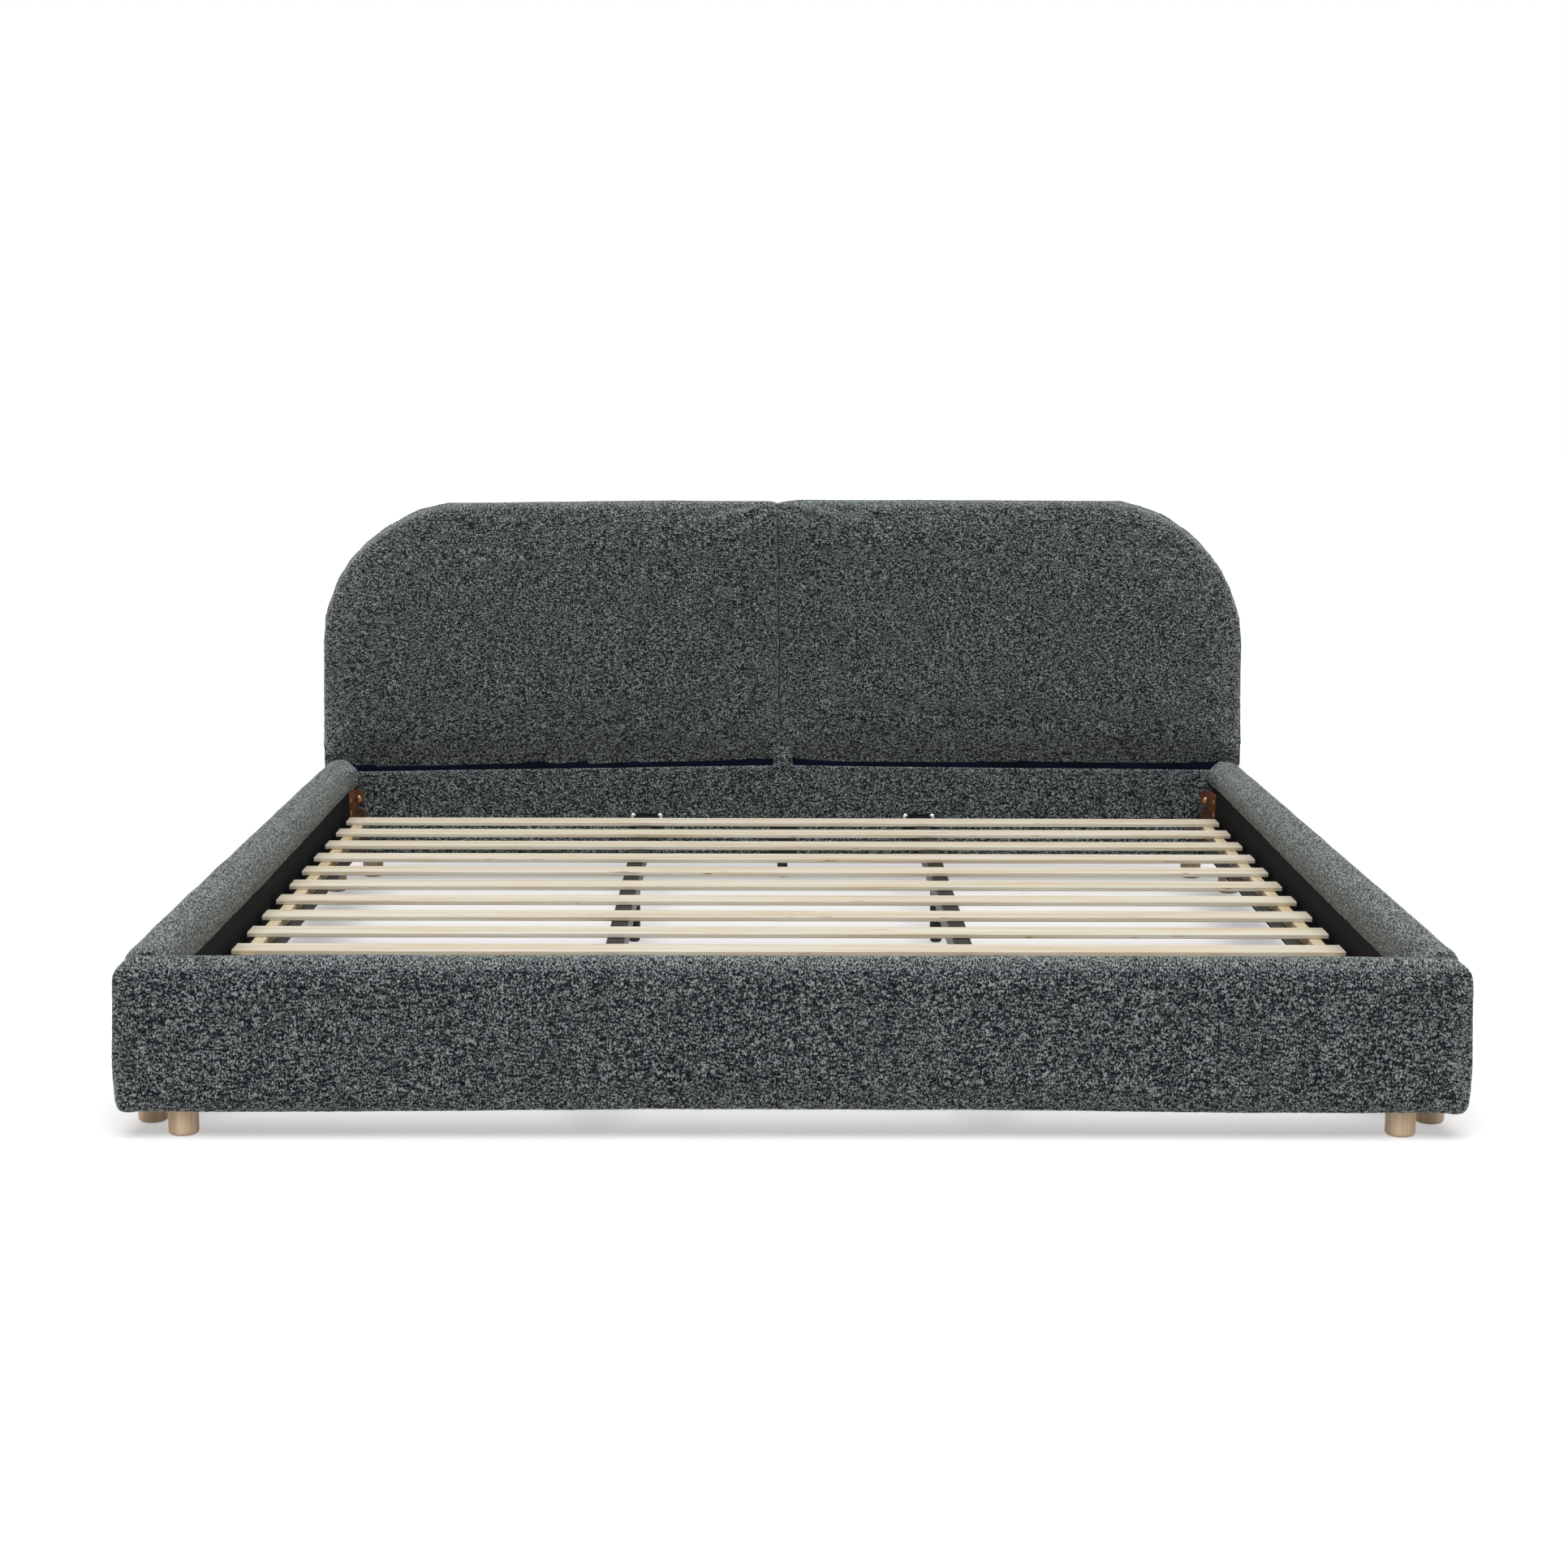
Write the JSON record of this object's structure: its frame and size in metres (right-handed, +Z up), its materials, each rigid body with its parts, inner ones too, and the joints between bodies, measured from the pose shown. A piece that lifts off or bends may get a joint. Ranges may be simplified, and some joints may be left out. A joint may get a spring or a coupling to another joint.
{
  "type": "upholstered platform bed",
  "caption": "Low upholstered platform bed with a padded arched headboard split at the centre, padded rails and footboard, slatted mattress base on steel beams, short wooden feet.",
  "frame": {"origin": "on the floor, at the middle of the bed's overall box", "axes": "+X to the right seen from the foot, +Y from the footboard to the headboard, +Z up"},
  "size_m": [2.1, 2.2248, 0.875],
  "materials": {
    "boucle": "dark blue-grey boucle with light grey loops over foam",
    "black_lining": "black non-woven lining cloth",
    "navy_tape": "navy loop fastening tape",
    "beech": "turned beech, clear lacquer",
    "slat_wood": "pale laminated birch slat with streaks along the grain",
    "pine": "planed pine batten",
    "frame_board": "frame timber and plywood, hidden",
    "black_steel": "satin black powder coat on steel",
    "yellow_zinc": "yellow zinc plated steel",
    "bright_steel": "bright zinc plated screw heads",
    "black_plastic": "black moulded plastic"
  },
  "bodies": {
    "frame": {"beam_hangers": "black_steel", "beam_legs": "black_steel", "bracket_bolts": "yellow_zinc", "foot_left_bracket": "yellow_zinc", "foot_right_bracket": "yellow_zinc", "footboard_core": "frame_board", "footboard_cover": "boucle", "footboard_feet": "beech", "footboard_lining": "black_lining", "hanger_screws": "bright_steel", "head_left_bracket": "yellow_zinc", "head_right_bracket": "yellow_zinc", "headboard_back_lining": "black_lining", "headboard_centre_foot": "black_plastic", "headboard_centre_tab": "boucle", "headboard_feet": "beech", "headboard_joining_plate": "black_steel", "headboard_left_pad": "boucle", "headboard_left_post": "frame_board", "headboard_lower_cover": "boucle", "headboard_lower_rail": "frame_board", "headboard_middle_rail": "frame_board", "headboard_panel": "frame_board", "headboard_right_pad": "boucle", "headboard_right_post": "frame_board", "headboard_tapes": "navy_tape", "ledger_screws": "bright_steel", "left_batten": "pine", "left_beam": "black_steel", "left_ledger": "black_steel", "left_rail_core": "frame_board", "left_rail_cover": "boucle", "left_rail_feet": "beech", "left_rail_lining": "black_lining", "leg_plugs": "black_plastic", "right_batten": "pine", "right_beam": "black_steel", "right_ledger": "black_steel", "right_rail_core": "frame_board", "right_rail_cover": "boucle", "right_rail_feet": "beech", "right_rail_lining": "black_lining", "slat_01": "slat_wood", "slat_02": "slat_wood", "slat_03": "slat_wood", "slat_04": "slat_wood", "slat_05": "slat_wood", "slat_06": "slat_wood", "slat_07": "slat_wood", "slat_08": "slat_wood", "slat_09": "slat_wood", "slat_10": "slat_wood", "slat_11": "slat_wood", "slat_12": "slat_wood", "slat_13": "slat_wood"},
    "left_back_glide": {"left_back_glide": "black_plastic"},
    "left_front_glide": {"left_front_glide": "black_plastic"},
    "right_back_glide": {"right_back_glide": "black_plastic"},
    "right_front_glide": {"right_front_glide": "black_plastic"}
  },
  "joints": [
    {"name": "left_back_glide_height", "type": "slide", "parent": "frame", "child": "left_back_glide", "axis": [0, 0, 1], "range_m": [-0.015, 0.0025]},
    {"name": "left_front_glide_height", "type": "slide", "parent": "frame", "child": "left_front_glide", "axis": [0, 0, 1], "range_m": [-0.015, 0.0025]},
    {"name": "right_back_glide_height", "type": "slide", "parent": "frame", "child": "right_back_glide", "axis": [0, 0, 1], "range_m": [-0.015, 0.0025]},
    {"name": "right_front_glide_height", "type": "slide", "parent": "frame", "child": "right_front_glide", "axis": [0, 0, 1], "range_m": [-0.015, 0.0025]}
  ]
}
